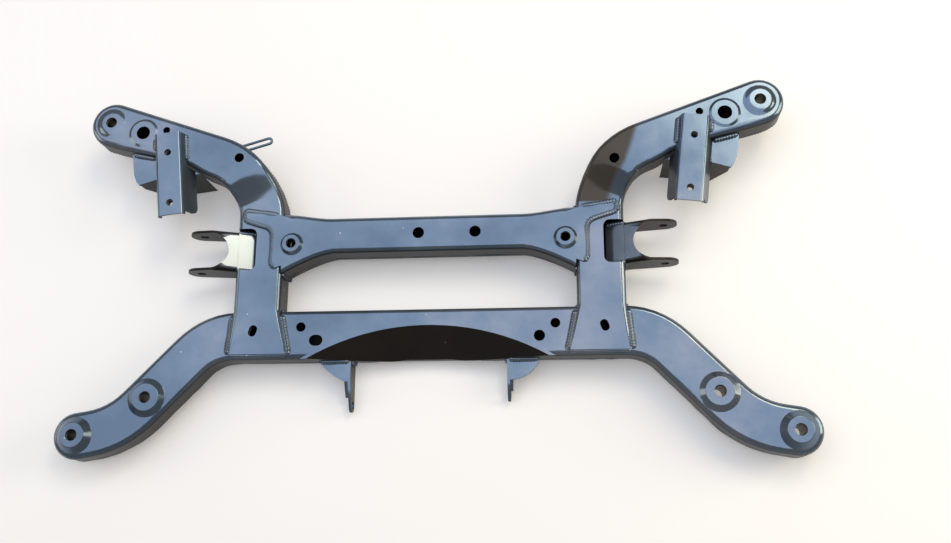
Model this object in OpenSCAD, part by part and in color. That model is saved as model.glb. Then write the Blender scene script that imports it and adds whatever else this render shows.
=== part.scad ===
// Car subframe, pressed from sheet steel and welded: a swept rear beam, a front beam
// and two side rails that climb and bend outwards to the front body mounts.
// Millimetres, +Z up, +Y to the front, origin under the middle of the frame.

/* [Layout] */
// Distance between the two rear body mounts
rear_mount_span = 1030; // [1016:2:1044]
// Distance from the rear to the front body mounts along Y
mount_base = 474; // [462:2:486]
// Distance between the two front body mounts
front_mount_span = 978; // [960:2:996]
// Distance between the centre lines of the two side rails
rail_span = 506; // [498:2:514]

/* [Sheet] */
// Thickness of the pressed shells
sheet = 3; // [2:0.5:4]
// Thickness of the folded brackets
bracket_sheet = 4; // [3:0.5:5]
// Outer radius of the rolled edges of the shells
edge_r = 8; // [6:0.5:10]
// Overlap of a lower shell inside its upper shell
lap = 12; // [8:1:16]
// Room between two shells that nest
lap_gap = 0.2; // [0.1:0.1:0.4]
// Room left for a weld where an edge butts against a wall
weld_gap = 0.3; // [0.1:0.1:0.5]

/* [Rear beam] */
// Distance of the rear beam's straight part ahead of the rear mounts
rear_beam_ahead = 144.5; // [140:0.5:148]
// Height of the rear beam
rear_beam_h = 60; // [54:1:64]
// Half width of the rear beam in the middle
rear_half = 36; // [33:0.5:38]
// Half width of the rear beam at the ends, also the radius of the round ends
rear_nose_r = 34; // [32:0.5:37]
// Half length of the straight part
rear_straight = 285; // [276:1:294]
// Radius of the bend towards the back
rear_bend_r = 92; // [84:1:100]
// Angle of the bend towards the back
rear_bend_a = 46; // [42:1:48]
// Radius of the bend back to the mount
rear_back_r = 125; // [115:1:135]
// Angle of the bend back to the mount
rear_back_a = 37; // [34:1:40]
// Depth of the side walls of the upper shell
rear_wall = 36; // [32:1:40]
// Rise of the underside from the middle to the ends
rear_end_rise = 18; // [12:1:20]
// Radius of the scallop in the top face
scallop_r = 356; // [330:2:380]
// Depth of the scallop from the back edge of the top face
scallop_depth = 47; // [40:1:52]
// Slope of the scallop, degrees down from level
scallop_slope = 40; // [34:1:46]

/* [Side rails] */
// Half width of the rail where it is straight
rail_half = 35; // [32:0.5:37]
// Half width of the rail after the bend
arm_half = 33; // [31:0.5:35]
// Half width at the waist of the arm, on the inner side
arm_waist = 26; // [24:0.5:30]
// Distance of the waist from the end of the bend
arm_waist_u = 42; // [36:1:50]
// Radius of the round end at the front mount
arm_nose_r = 35; // [33:0.5:37]
// Radius of the bend outwards
rail_bend_r = 100; // [92:1:106]
// Angle of the bend outwards
rail_bend_a = 71; // [69:0.5:73]
// Underside of the straight rail
rail_bottom = 6; // [3:1:10]
// Top of the straight rail
rail_top = 68; // [66:1:70]
// Climb of the rail in the bend
rail_rise = 26; // [20:1:32]
// Depth of the side walls of the upper shell
rail_wall = 36; // [32:1:40]
// Reach of the foot over the rear beam, from the front wall of the beam
foot_reach = 65; // [60:1:68]
// Flare of the foot towards the middle
foot_flare_in = 14; // [8:1:18]
// Flare of the foot outwards
foot_flare_out = 6; // [3:1:10]

/* [Front beam] */
// Distance of the front beam ahead of the rear beam
front_beam_ahead = 148; // [144:0.5:152]
// Half width of the front beam in the middle
front_half = 27; // [24:0.5:30]
// Underside of the front beam
front_bottom = 10; // [6:1:14]
// Depth of the side walls of the upper shell
front_wall = 35; // [31:1:39]
// Widening of the ends to the back
front_flare_back = 30; // [24:1:34]
// Widening of the ends to the front
front_flare_fore = 8; // [4:1:10]
// Length over which the ends widen
front_flare_len = 76; // [66:1:86]
// Reach of the lap plate over the rail
plate_reach = 16; // [10:1:20]
// Reach of the plate's finger over the rail
finger_reach = 59; // [52:1:60]
// Width of the finger
finger_w = 15; // [12:1:18]

/* [Bosses and holes] */
// Height of the boss at the rear mount
rear_rise = 10; // [6:0.5:12]
// Flat top of the rear mount boss
rear_boss_d = 36; // [33:0.5:38]
// Height of the locating boss
locating_rise = 6.5; // [5:0.5:9]
// Flat top of the locating boss
locating_boss_d = 40; // [36:0.5:42]
// Bore of the mount sleeves
sleeve_bore = 16; // [14:0.5:17]
// Wall of the mount sleeves
sleeve_wall = 5; // [4:0.5:6]
// Place of the locating boss, back from the outer end of the beam's sloping part
locating_back = 20; // [14:1:26]
// Height of the bosses on the front beam
front_rise = 6; // [4:0.5:8]
// Flat top of the bosses on the front beam
front_boss_d = 26; // [24:0.5:28]
// Bore of the collars under them
front_bore = 14; // [12:0.5:15]
// Length of the collars
collar_len = 14; // [10:1:20]
// Distance of these bosses from the rail centre lines
front_boss_in = 50; // [47:1:54]
// Distance of these bosses behind the beam's centre line
front_boss_back = 13; // [10:1:15]
// Height of the raised ring at the front mount
arm_rise = 4.5; // [3.5:0.5:5.5]
// Further rise of the arm's underside towards the mount
arm_end_rise = 16; // [10:1:20]
// Diameter of the large tooling hole in the arm
arm_hole_d = 21; // [18:0.5:22]
// Distance of the large hole from the front mount
arm_hole_back = 54; // [50:0.5:57]
// Diameter of the small hole beside it
arm_small_d = 11; // [9:0.5:12]
// Distance of the small hole from the front mount
arm_small_back = 87; // [84:0.5:90]
// Distance of the small hole from the arm's centre line
arm_small_side = 15; // [13:0.5:17]
// Height of the pressed pad round the large hole
arm_pad_rise = 1.5; // [1:0.25:2]
// Diameter of the access hole in the bend
access_d = 14.5; // [12:0.5:16]
// Diameter of the two line holes through the front beam
line_hole_d = 17; // [14:0.5:20]
// Diameter of the tooling hole beside each foot
tooling_d = 14; // [12:0.5:16]
// Diameter of the drain hole next to it, and width of the oval one on the left
drain_d = 16; // [12:0.5:17]
// Length of the oval drain hole on the left
drain_len = 20; // [18:0.5:24]
// Width of the oval hole in the foot
foot_hole_w = 12; // [10:0.5:14]
// Length of the oval hole in the foot
foot_hole_len = 17; // [15:0.5:20]

/* [Link clevis] */
// Width over the two ears
clevis_w = 62; // [58:1:66]
// Bore in the ears
clevis_bore = 12.5; // [10:0.5:14]
// Reach of the bore from the outer wall of the rail
clevis_reach = 58; // [54:1:62]
// Height of the bore
clevis_z = 48; // [44:1:50]
// Radius of the ear round the bore
clevis_tip_r = 20; // [18:0.5:22]
// Slope of the roof
clevis_slope = 24; // [22:0.5:26]

/* [Stabiliser bracket] */
// Width of the channel
strip_w = 40; // [37:1:44]
// Height of the channel over the arm
strip_rise = 15; // [13.5:0.5:18]
// Depth of the channel's walls
strip_depth = 36; // [30:1:40]
// Flare of each wall
strip_flare = 9.5; // [7:0.5:11]
// Distance between the two threaded holes
strip_pitch = 80.5; // [76:0.5:84]
// Distance of the fore threaded hole from the front mount, along the arm
strip_from_mount = 111.5; // [108:0.5:115]
// Distance of the fore threaded hole from the arm's centre line
strip_side = 21.5; // [18:0.5:24]
// Angle between the channel and the arm
strip_angle = 64; // [60:1:68]
// Length of the channel beyond the fore hole
strip_fore = 32; // [28:1:36]
// Length of the channel beyond the aft hole
strip_aft = 19; // [15:1:24]
// Reach of the support outwards from the channel's middle line
support_reach = 61; // [57:1:64]
// Distance of the support's skirt behind the fore hole
support_back = 28.5; // [26:0.5:31]
// Depth of the support's shelf below the top of the arm
support_drop = 14; // [13:0.5:18]
// Width of the skirt's clipped corner at the floor
support_clip = 23; // [18:1:26]
// Turn of the outer half of the skirt from the inner half
support_fold = 10; // [5:1:14]
// Bore of the weld nuts
nut_bore = 8.5; // [6:0.5:10]
// Height of the weld nuts
nut_h = 9.5; // [7:0.5:10]
// Width of the weld nuts across the flats
nut_af = 17; // [15:1:19]

/* [Drive ears] */
// Distance between the inner faces of the two ears
drive_gap = 230; // [224:2:238]
// Reach of the left bore behind the rear beam
drive_reach_left = 62; // [58:1:66]
// Reach of the right bore behind the rear beam
drive_reach_right = 48; // [45:1:52]
// Bore in the ears
drive_bore = 12.5; // [10:0.5:14]
// Radius of the ear round the bore
drive_tip_r = 10.5; // [10:0.5:13]
// Height of the ear's lower edge above the underside
drive_low = 1.5; // [1:0.25:2]
// Reach of the gusset behind the rear beam
gusset_reach = 30; // [24:1:34]
// Length of the gusset along the rear beam
gusset_len = 48; // [40:1:54]
// Bulge of the left gusset's edge
gusset_bulge_left = 3; // [0:0.5:5]
// Bulge of the right gusset's edge
gusset_bulge_right = 7; // [3:0.5:9]
// Width of the flange along the ear's upper edge
ear_flange = 9; // [7:0.5:11]

/* [Line clip] */
// Wire of the clip
clip_wire = 4; // [3:0.5:5]
// Width of the clip between its wires' centres
clip_w = 9; // [8:0.5:12]
// Length of the clip
clip_len = 42; // [36:1:48]

/* [Hidden] */
$fn = 64;
bend_steps = 4;
lower_steps = 2;
nose_steps = 8;
nose_stop = 87;
eps = 0.01;
paint = "#66788f";
paint_dark = "#3b3a37";
bare = "#55585c";

// The origin lies under the middle of the part, so half of its depth is behind it
rear_mount_y = rear_nose_r - (mount_base + rear_nose_r + arm_nose_r) / 2;
front_mount_y = rear_mount_y + mount_base;
rear_beam_y = rear_mount_y + rear_beam_ahead;
front_beam_y = rear_beam_y + front_beam_ahead;
rear_x = rear_mount_span / 2;
front_x = front_mount_span / 2;
rail_x = rail_span / 2;
rear_fore_y = rear_beam_y + rear_half;
rear_back_y = rear_beam_y - rear_half;
front_top = rail_top + sheet;
arm_top = rail_top + rail_rise;
arm_bottom = rail_bottom + rail_rise + arm_end_rise;
inner_wall_x = rail_x - rail_half;
outer_wall_x = rail_x + rail_half;

// Small helpers
function smooth(f) = let (g = max(0, min(1, f))) g * g * (3 - 2 * g);
function lerp(a, b, f) = a + (b - a) * f;
function turned(h) = [cos(h), sin(h)];
function rev(list) = [for (k = [len(list) - 1 : -1 : 0]) list[k]];
function quad(q, flip) = flip
    ? [[q[0], q[2], q[1]], [q[0], q[3], q[2]]]
    : [[q[0], q[1], q[2]], [q[0], q[2], q[3]]];

// A station is [place, unit to the left, unit to the right, left half, right half, lift],
// and may end with its own free edge and flat, as the foot of the rail does.
function station(p, h, left, right, lift = 0) =
    [p, [-sin(h), cos(h)], [sin(h), -cos(h)], left, right, lift];

// A round end is a fan of stations whose two sides swing forward until they meet
function nose(p, h, r, lift = 0) = [
    for (k = [1 : nose_steps])
        let (f = nose_stop * k / nose_steps)
        [p, cos(f) * [-sin(h), cos(h)] + sin(f) * turned(h),
            cos(f) * [sin(h), -cos(h)] + sin(f) * turned(h), r, r, lift]
];

// The same station on the other side of the middle plane
function mirrored(st) = [
    [-st[0].x, st[0].y], [-st[1].x, st[1].y], [-st[2].x, st[2].y], st[3], st[4], st[5]
];

// One side of a channel: [inset, height] from the free edge round the bend to the flat
function bend_profile(edge, flat, r, inset, steps) =
    let (s = flat > edge ? 1 : -1)
    concat([[inset, edge]], [
        for (k = [0 : steps])
            let (a = 90 * k / steps)
            [inset + r * (1 - cos(a)), flat - s * r * (1 - sin(a))]
    ]);

function on_side(st, profile, left) =
    let (u = left ? st[1] : st[2], h = left ? st[3] : st[4])
    [for (p = profile) [st[0].x + (h - p[0]) * u.x, st[0].y + (h - p[0]) * u.y, p[1]]];

// The closed outline of a channel wall at one station, outer face first
function ring(st, edge, flat, inset, steps) =
    let (
        e = len(st) > 6 ? st[6] : edge + st[5],
        f = len(st) > 6 ? st[7] : flat + st[5],
        s = f > e ? 1 : -1,
        up = f > e,
        r = min(edge_r, abs(f - e) - 0.1),
        outer = bend_profile(e, f, r, inset, steps),
        inner = bend_profile(e, f - s * sheet, max(r - sheet, 0.2), inset + sheet, steps)
    )
    concat(on_side(st, outer, up), rev(on_side(st, outer, !up)),
        on_side(st, inner, !up), rev(on_side(st, inner, up)));

// Open end: a strip between the outer and the inner face
function open_cap(a, m, flip) = [
    for (i = [0 : m - 2])
        each quad([a + i, a + i + 1, a + 2 * m - 2 - i, a + 2 * m - 1 - i], flip)
];

// Round end: a ladder between the two sides, on the outer face, the inner face and the edge
function nose_cap(a, m, flip) =
    let (n = a + 2 * m - 1)
    concat(
        [for (i = [0 : m / 2 - 2])
            each quad([a + i, a + i + 1, a + m - 2 - i, a + m - 1 - i], flip)],
        [for (i = [0 : m / 2 - 2])
            each quad([n - i - 1, n - i, n - m + 1 + i, n - m + 2 + i], flip)],
        quad([n, a, a + m - 1, n - m + 1], flip)
    );

// Pressed channel along a list of stations. The flat lies above the free edge on an
// upper shell and below it on a lower one, and inset moves both walls inwards.
module pressed_channel(path, edge, flat, inset, steps, start_nose, end_nose) {
    m = 2 * (steps + 2);
    last = (len(path) - 1) * 2 * m;
    points = [for (st = path) each ring(st, edge, flat, inset, steps)];
    sides = [
        for (k = [0 : len(path) - 2], i = [0 : 2 * m - 1])
            let (a = k * 2 * m, b = a + 2 * m, j = (i + 1) % (2 * m))
            each quad([a + j, a + i, b + i, b + j], false)
    ];
    first_cap = start_nose ? nose_cap(0, m, false) : open_cap(0, m, false);
    last_cap = end_nose ? nose_cap(last, m, true) : open_cap(last, m, true);
    polyhedron(points, concat(sides, first_cap, last_cap), convexity = 10);
}

module upper_shell(path, edge, flat, start_nose, end_nose) {
    pressed_channel(path, edge, flat, 0, bend_steps, start_nose, end_nose);
}

module lower_shell(path, edge, flat, start_nose, end_nose) {
    pressed_channel(path, edge, flat, sheet + lap_gap, lower_steps, start_nose, end_nose);
}

// Pressed boss on a top face at z = 0: a hollow cone with a flat top
module boss(top_d, rise, hole_d, spread = 1.4) {
    base_d = top_d + spread * rise;
    difference() {
        translate([0, 0, -sheet / 2])
            cylinder(h = rise + sheet / 2, d1 = base_d + 0.7 * sheet, d2 = top_d);
        boss_hollow(top_d, rise, hole_d, spread);
    }
}

module boss_hollow(top_d, rise, hole_d, spread = 1.4) {
    base_d = top_d + spread * rise;
    hollow = 1.5 * sheet;
    translate([0, 0, -sheet - 1])
        cylinder(h = rise + 1, d1 = base_d - hollow + 1.4, d2 = top_d - hollow);
    translate([0, 0, -sheet - 2])
        cylinder(h = rise + 2 * sheet + 4, d = hole_d);
}

module on_both_sides() {
    children();
    mirror([1, 0, 0]) children();
}

module drill(p, z, d) {
    translate([p.x, p.y, z - 15]) cylinder(h = 30, d = d);
}

// Rear beam: the two straight lengths follow from the place of the mount
rear_out_a = rear_back_a - rear_bend_a;
rear_bend_end = [rear_straight + rear_bend_r * sin(rear_bend_a),
    rear_beam_y - rear_bend_r * (1 - cos(rear_bend_a))];
rear_back_step = rear_back_r * [sin(rear_out_a) + sin(rear_bend_a),
    cos(rear_bend_a) - cos(rear_out_a)];
rear_left_over = [rear_x, rear_mount_y] - rear_bend_end - rear_back_step;
rear_slope_len = (rear_left_over.x * sin(rear_out_a) - rear_left_over.y * cos(rear_out_a))
    / sin(rear_bend_a + rear_out_a);
rear_end_len = (rear_left_over.x + rear_left_over.y * cos(rear_bend_a) / sin(rear_bend_a))
    / (cos(rear_out_a) + sin(rear_out_a) * cos(rear_bend_a) / sin(rear_bend_a));
rear_back_start = rear_bend_end + rear_slope_len * turned(-rear_bend_a);

rear_half_path = concat(
    [for (a = [0 : rear_bend_a / 7 : rear_bend_a + eps])
        station([rear_straight + rear_bend_r * sin(a),
            rear_beam_y - rear_bend_r * (1 - cos(a))], -a,
            lerp(rear_half, rear_nose_r, smooth(a / rear_bend_a)),
            lerp(rear_half, rear_nose_r, smooth(a / rear_bend_a)))],
    [for (a = [0 : rear_back_a / 6 : rear_back_a + eps])
        let (h = a - rear_bend_a)
        station(rear_back_start + rear_back_r * [sin(h) + sin(rear_bend_a),
            cos(rear_bend_a) - cos(h)], h, rear_nose_r, rear_nose_r)],
    [station([rear_x, rear_mount_y], rear_out_a, rear_nose_r, rear_nose_r)],
    nose([rear_x, rear_mount_y], rear_out_a, rear_nose_r)
);
rear_path = concat(rev([for (st = rear_half_path) mirrored(st)]), rear_half_path);

rear_mount = [rear_x, rear_mount_y];
locating = rear_bend_end + (rear_slope_len - locating_back) * turned(-rear_bend_a);
rear_edge = rear_beam_h - rear_wall;
rear_spread = 1.8;
locating_spread = 2.8;
// The underside climbs through the bends, so its ends are level where the sleeves stand
rear_lower_path = [
    for (st = rear_path)
        concat(st, [rear_edge + lap, rear_end_rise
            * smooth((abs(st[0].x) - rear_straight) / (rear_bend_r * sin(rear_bend_a)))])
];

// Cone that cuts the scallop; grow widens it by a sheet measured square to its face
module scallop(grow) {
    low = -10;
    high = rear_beam_h + 20;
    top_r = scallop_r + grow / sin(scallop_slope);
    slope = 1 / tan(scallop_slope);
    translate([0, rear_back_y + scallop_depth - scallop_r, low])
        cylinder(h = high - low, r1 = top_r - (rear_beam_h - low) * slope,
            r2 = top_r + (high - rear_beam_h) * slope, $fn = 180);
}

// Tooling holes beside the right foot and beside the left one
small_hole = [inner_wall_x - 32, rear_beam_y + 11];
drain_hole = [inner_wall_x - 55, rear_beam_y - 7];

module drain_oval(l, w) {
    on = [[-(l - w) / 2, 0], [(l - w) / 2, 0]];
    for (p = on)
        translate([p.x, p.y, -15]) cylinder(h = 30, d = w);
    translate([on[0].x, -w / 2, -15]) cube([l - w, w, 30]);
}

module foot_oval() {
    translate([rail_x + 3, rear_fore_y - 31, rear_beam_h]) rotate([0, 0, 110])
        drain_oval(foot_hole_len, foot_hole_w);
}

module rear_beam_upper() {
    color(paint) difference() {
        union() {
            difference() {
                upper_shell(rear_path, rear_edge, rear_beam_h, true, true);
                scallop(0);
            }
            intersection() {
                translate([-rear_straight + 20, rear_back_y, rear_edge])
                    cube([2 * rear_straight - 40, 2 * rear_half - edge_r - sheet, rear_wall]);
                difference() {
                    scallop(sheet);
                    scallop(0);
                }
            }
            on_both_sides() {
                translate([rear_mount.x, rear_mount.y, rear_beam_h])
                    boss(rear_boss_d, rear_rise, sleeve_bore + 1, rear_spread);
                translate([locating.x, locating.y, rear_beam_h])
                    boss(locating_boss_d, locating_rise, sleeve_bore + 1, locating_spread);
            }
        }
        on_both_sides() {
            translate([rear_mount.x, rear_mount.y, rear_beam_h])
                boss_hollow(rear_boss_d, rear_rise, sleeve_bore + 1, rear_spread);
            translate([locating.x, locating.y, rear_beam_h])
                boss_hollow(locating_boss_d, locating_rise, sleeve_bore + 1, locating_spread);
            drill(small_hole, rear_beam_h, tooling_d);
            foot_oval();
        }
        drill(drain_hole, rear_beam_h, drain_d);
        translate([-drain_hole.x, drain_hole.y - 2, rear_beam_h]) drain_oval(drain_len, drain_d);
    }
}

module rear_beam_lower() {
    color(paint_dark) difference() {
        lower_shell(rear_lower_path, rear_edge + lap, 0, true, true);
        scallop(sheet + weld_gap);
        on_both_sides() {
            drill(rear_mount, rear_end_rise, sleeve_bore + 1);
            drill(locating, rear_end_rise, sleeve_bore + 1);
        }
    }
}

// Tube that stops the shells from collapsing under a bolt
module sleeve(p, low, high, bore) {
    color(bare) translate([p.x, p.y, low])
        difference() {
            cylinder(h = high - low, d = bore + 2 * sleeve_wall);
            translate([0, 0, -1]) cylinder(h = high - low + 2, d = bore);
        }
}

module right_rear_mount_sleeve() {
    sleeve(rear_mount, rear_end_rise + sheet, rear_beam_h + rear_rise - sheet - lap_gap, sleeve_bore);
}

module left_rear_mount_sleeve() {
    mirror([1, 0, 0]) right_rear_mount_sleeve();
}

module right_locating_sleeve() {
    sleeve(locating, rear_end_rise + sheet, rear_beam_h + locating_rise - sheet - lap_gap, sleeve_bore);
}

module left_locating_sleeve() {
    mirror([1, 0, 0]) right_locating_sleeve();
}

// Side rail, right hand: the bend starts where the arm then runs out to the mount
arm_len = (front_x - rail_x - rail_bend_r * (1 - cos(rail_bend_a))) / sin(rail_bend_a);
bend_y = front_mount_y - rail_bend_r * sin(rail_bend_a) - arm_len * cos(rail_bend_a);
arm_h = 90 - rail_bend_a;
arm_root = [rail_x + rail_bend_r * (1 - cos(rail_bend_a)), bend_y + rail_bend_r * sin(rail_bend_a)];
front_mount = [front_x, front_mount_y];
rail_edge = rail_top - rail_wall;

// Place on the arm: u along it from the bend, v to its inner side
function arm_point(u, v) = arm_root + u * turned(arm_h) + v * turned(arm_h - 90);
function arm_inner(u) = u < arm_waist_u
    ? lerp(arm_half, arm_waist, smooth(u / arm_waist_u))
    : lerp(arm_waist, arm_nose_r, smooth((u - arm_waist_u) / (arm_len - arm_waist_u)));
arm_stops = concat([for (k = [1 : 3]) arm_waist_u * k / 3],
    [for (k = [1 : 5]) lerp(arm_waist_u, arm_len, k / 5)]);

rail_bend = [
    for (k = [0 : 12])
        let (
            a = rail_bend_a * k / 12,
            half = lerp(rail_half, arm_half, smooth(a / 30)),
            lift = rail_rise * smooth((a - 12) / 32)
        )
        station([rail_x + rail_bend_r * (1 - cos(a)), bend_y + rail_bend_r * sin(a)],
            90 - a, half, half, lift)
];
rail_arm = [
    for (u = arm_stops)
        station(arm_point(u, 0), arm_h, lerp(arm_half, arm_nose_r, u / arm_len),
            arm_inner(u), rail_rise)
];
rail_body = concat(
    [station([rail_x, rear_fore_y + weld_gap], 90, rail_half, rail_half)],
    rail_bend, rail_arm, nose(front_mount, arm_h, arm_nose_r, rail_rise)
);

// The foot lies on the rear beam: its walls shrink to the sheet and flare out
foot_steps = 6;
rail_foot = [
    for (k = [0 : foot_steps])
        let (
            f = 1 - k / foot_steps,
            st = station([rail_x, rear_fore_y - foot_reach * f], 90,
                rail_half + foot_flare_in * f, rail_half + foot_flare_out * f)
        )
        concat(st, [rear_beam_h, lerp(rail_top, rear_beam_h + sheet + 1, f * f)])
];

clevis_y = front_beam_y - 18.5;
clevis_room = 1.5;
notch_in_x = outer_wall_x - 30;

module clevis_notch() {
    r = 10;
    w = clevis_w + 2 * clevis_room;
    translate([notch_in_x + r, clevis_y - w / 2, rail_edge + 14])
        cube([60, w, 100]);
    translate([notch_in_x, clevis_y - w / 2 + r, rail_edge + 14])
        cube([60, w - 2 * r, 100]);
    for (s = [-1, 1])
        translate([notch_in_x + r, clevis_y + s * (w / 2 - r), rail_edge + 14])
            cylinder(h = 100, r = r);
}

large_hole = arm_point(arm_len - arm_hole_back, 0);
tooling_hole = arm_point(arm_len - arm_small_back, -arm_small_side);
pad_d = arm_hole_d + 17;
ring_d = sleeve_bore + 2 * sleeve_wall + 6;
ring_spread = 3.5;

module side_rail_upper(access_hole) {
    color(paint) difference() {
        union() {
            upper_shell(concat(rail_foot, rail_body), rail_edge, rail_top, false, true);
            translate([front_mount.x, front_mount.y, arm_top])
                boss(ring_d, arm_rise, sleeve_bore + 1, ring_spread);
            translate([large_hole.x, large_hole.y, arm_top])
                boss(pad_d, arm_pad_rise, arm_hole_d);
        }
        translate([front_mount.x, front_mount.y, arm_top])
            boss_hollow(ring_d, arm_rise, sleeve_bore + 1, ring_spread);
        translate([large_hole.x, large_hole.y, arm_top])
            boss_hollow(pad_d, arm_pad_rise, arm_hole_d);
        clevis_notch();
        foot_oval();
        drill(tooling_hole, arm_top, arm_small_d);
        drill(access_hole, arm_top, access_d);
    }
}

// The lower shell climbs more than the upper one in the second half of the bend
rail_low = [
    for (k = [0 : len(rail_body) - 1])
        let (st = rail_body[k])
        concat(st, [rail_edge + lap + st[5], rail_bottom + st[5] + arm_end_rise * smooth((k - 6) / 7)])
];

module side_rail_lower() {
    color(paint_dark) difference() {
        lower_shell(rail_low, rail_edge + lap, rail_bottom, false, true);
        drill(front_mount, arm_bottom, sleeve_bore + 2 * sleeve_wall + 2 * weld_gap);
    }
}

module right_side_rail_upper() {
    side_rail_upper(arm_root + [-44, -24]);
}

module left_side_rail_upper() {
    mirror([1, 0, 0]) side_rail_upper(arm_root + [-36, -5]);
}

module right_side_rail_lower() {
    side_rail_lower();
}

module left_side_rail_lower() {
    mirror([1, 0, 0]) side_rail_lower();
}

module right_front_mount_sleeve() {
    sleeve(front_mount, arm_bottom, arm_top + arm_rise - sheet - lap_gap, sleeve_bore);
}

module left_front_mount_sleeve() {
    mirror([1, 0, 0]) right_front_mount_sleeve();
}

// Front beam: straight, with ends that widen towards the rails
front_end_x = inner_wall_x - weld_gap;
front_half_path = [
    for (k = [0 : 7])
        let (
            f = k / 7,
            x = lerp(front_end_x - front_flare_len, front_end_x, f)
        )
        station([x, front_beam_y], 0, front_half + front_flare_fore * smooth(f),
            front_half + front_flare_back * pow(f, 1.4))
];
front_path = concat(rev([for (st = front_half_path) mirrored(st)]), front_half_path);
front_edge = front_top - front_wall;
front_boss = [rail_x - front_boss_in, front_beam_y - front_boss_back];
beam_holes = [[-13, front_beam_y], [71, front_beam_y]];

// Plate at the end of the beam that lies on the rail, with a finger towards the arm
module lap_plate() {
    r = 16;
    x0 = inner_wall_x - 14;
    x1 = inner_wall_x + plate_reach;
    x2 = inner_wall_x + finger_reach;
    y0 = front_beam_y - front_half - front_flare_back + edge_r;
    y1 = front_beam_y + front_half + front_flare_fore - edge_r;
    y2 = y1 + edge_r + 6 - finger_w;
    corner = [x1 + r, y2 - 9 - r];
    outline = concat(
        [[x0, y0 + 8], [x1 - 6, y0], [x1, y0 + 8]],
        [for (a = [180 : -15 : 105]) corner + r * turned(a)],
        [[x2 - 3, y2], [x2, y2 + 3], [x2, y2 + finger_w - 3], [x2 - 3, y2 + finger_w]],
        [[inner_wall_x + 8, y1 + edge_r - 1], [x0, y1]]
    );
    translate([0, 0, rail_top]) linear_extrude(sheet) polygon(outline);
}

module front_beam_upper() {
    color(paint) difference() {
        union() {
            upper_shell(front_path, front_edge, front_top, false, false);
            on_both_sides() {
                lap_plate();
                translate([front_boss.x, front_boss.y, front_top])
                    boss(front_boss_d, front_rise, front_bore + 1);
            }
        }
        on_both_sides()
            translate([front_boss.x, front_boss.y, front_top])
                boss_hollow(front_boss_d, front_rise, front_bore + 1);
        for (p = beam_holes)
            drill(p, front_top, line_hole_d);
    }
}

module front_beam_lower() {
    color(paint_dark) difference() {
        lower_shell(front_path, front_edge + lap, front_bottom, false, false);
        for (p = beam_holes)
            drill(p, front_bottom, line_hole_d);
    }
}

module right_front_beam_collar() {
    high = front_top + front_rise - sheet - lap_gap;
    color(bare) translate([front_boss.x, front_boss.y, high - collar_len])
        difference() {
            cylinder(h = collar_len, d = front_boss_d - 1.5 * sheet - 0.5);
            translate([0, 0, -1]) cylinder(h = collar_len + 2, d = front_bore);
        }
}

module left_front_beam_collar() {
    mirror([1, 0, 0]) right_front_beam_collar();
}

// Clevis for the link: a bent roof let into the rail and two ears outside it
bore_x = outer_wall_x + clevis_reach;
roof_in = [notch_in_x + 4, clevis_z];
roof_len = 56;

module clevis_blank() {
    roof_out = roof_in + roof_len * turned(clevis_slope);
    at_wall = roof_in.y + (outer_wall_x - roof_in.x) * tan(clevis_slope);
    hull() {
        polygon([[outer_wall_x + weld_gap, at_wall], roof_out,
            [outer_wall_x + weld_gap, clevis_z - 32]]);
        translate([bore_x, clevis_z]) circle(clevis_tip_r, $fn = 48);
    }
    polygon([roof_in, roof_in - [0, 10], [outer_wall_x + 1, at_wall - 10],
        [outer_wall_x + 1, at_wall]]);
}

module clevis_section() {
    r = 2 * bracket_sheet;
    difference() {
        union() {
            translate([-clevis_w / 2 + r, -r]) square([clevis_w - 2 * r, r]);
            translate([-clevis_w / 2, -100]) square([clevis_w, 100 - r]);
            for (s = [-1, 1])
                translate([s * (clevis_w / 2 - r), -r]) circle(r);
        }
        translate([-clevis_w / 2 + r, -101]) square([clevis_w - 2 * r, 101 - bracket_sheet]);
        translate([-clevis_w / 2 + bracket_sheet, -101])
            square([clevis_w - 2 * bracket_sheet, 101 - r]);
        for (s = [-1, 1])
            translate([s * (clevis_w / 2 - r), -r]) circle(r - bracket_sheet);
    }
}

// The bent sheet: its section carried along the slope, cut to the outline seen from the side
module clevis_bend() {
    intersection() {
        translate([roof_in.x, clevis_y, roof_in.y]) rotate([0, -clevis_slope, 0])
            translate([-40, 0, 0]) rotate([90, 0, 90])
                linear_extrude(2 * (roof_len + clevis_reach)) clevis_section();
        translate([0, clevis_y + clevis_w, 0]) rotate([90, 0, 0])
            linear_extrude(2 * clevis_w) clevis_blank();
    }
}

// The part of the roof inside the notch is flat over its whole width
module clevis_tongue() {
    translate([roof_in.x, clevis_y - clevis_w / 2, roof_in.y]) rotate([0, -clevis_slope, 0])
        translate([0, 0, -bracket_sheet])
            cube([(outer_wall_x - roof_in.x) / cos(clevis_slope), clevis_w, bracket_sheet]);
}

module right_link_clevis() {
    relief_r = clevis_w / 2 - 1;
    color(paint) difference() {
        union() {
            clevis_tongue();
            clevis_bend();
        }
        translate([roof_in.x + 36 + relief_r, clevis_y, clevis_z + 2])
            cylinder(h = 80, r = relief_r - bracket_sheet + 1);
        translate([bore_x, clevis_y + clevis_w, clevis_z]) rotate([90, 0, 0])
            cylinder(h = 2 * clevis_w, d = clevis_bore);
    }
}

module left_link_clevis() {
    mirror([1, 0, 0]) right_link_clevis();
}

// Stabiliser channel: lies across the arm, its frame is turned with the arm
strip_turn = arm_h + strip_angle - 90;
strip_top = arm_top + strip_rise;
strip_low = strip_top - strip_depth;
strip_at = arm_point(arm_len - strip_from_mount, strip_side);
strip_back = strip_pitch + strip_aft;

module on_strip() {
    translate([strip_at.x, strip_at.y, strip_top]) rotate([0, 0, strip_turn]) children();
}

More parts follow.
